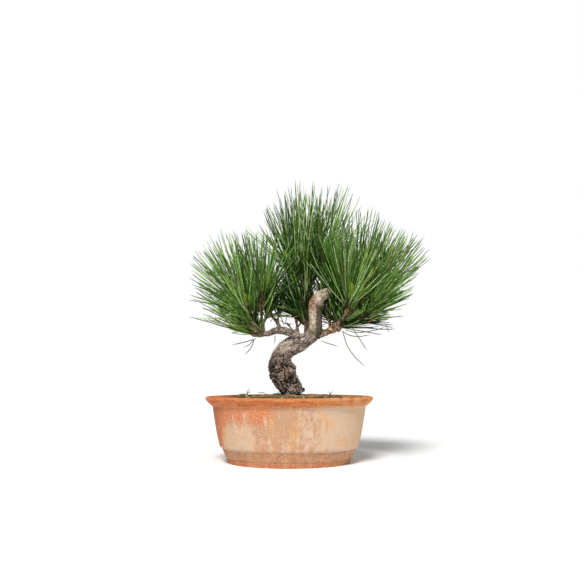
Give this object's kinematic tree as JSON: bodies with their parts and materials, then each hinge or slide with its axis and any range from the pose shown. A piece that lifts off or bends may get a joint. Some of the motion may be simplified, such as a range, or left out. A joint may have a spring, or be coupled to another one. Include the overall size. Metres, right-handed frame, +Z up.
{
  "type": "japanese black pine bonsai in an oval terracotta pot",
  "caption": "Potted black pine bonsai: a short bent trunk with a cut leader, boughs with tufts of long needles, and an oval terracotta pot filled with soil.",
  "frame": {"origin": "middle of the pot's flat underside", "axes": "+X along the pot's long side, +Z up, and -Y towards the tree's front, the side that the picture shows"},
  "size_m": [0.3496, 0.2403, 0.4062],
  "materials": {
    "terracotta": "matte",
    "soil": "matte",
    "old_bark": "matte",
    "grey_wood": "matte",
    "young_bark": "matte",
    "needles": "satin"
  },
  "bodies": {
    "root": {"pot": "terracotta", "soil": "soil", "trunk": "old_bark", "cut_leader": "grey_wood", "left_bough": "young_bark", "right_bough": "young_bark", "top_bough": "young_bark", "back_bough": "young_bark", "left_riser": "young_bark", "left_out_bough": "young_bark", "left_front_bough": "young_bark", "left_back_bough": "young_bark", "top_left_bough": "young_bark", "top_right_bough": "young_bark", "top_back_bough": "young_bark", "right_back_bough": "young_bark", "right_front_bough": "young_bark", "right_riser": "young_bark", "right_mid_bough": "young_bark", "right_low_bough": "young_bark", "left_low_needles": "needles", "left_front_needles": "needles", "left_out_needles": "needles", "left_top_needles": "needles", "left_back_needles": "needles", "back_needles": "needles", "top_left_needles": "needles", "top_needles": "needles", "top_right_needles": "needles", "top_back_needles": "needles", "right_riser_needles": "needles", "right_front_needles": "needles", "right_mid_needles": "needles", "right_out_needles": "needles", "right_low_needles": "needles", "right_back_needles": "needles"}
  },
  "joints": []
}
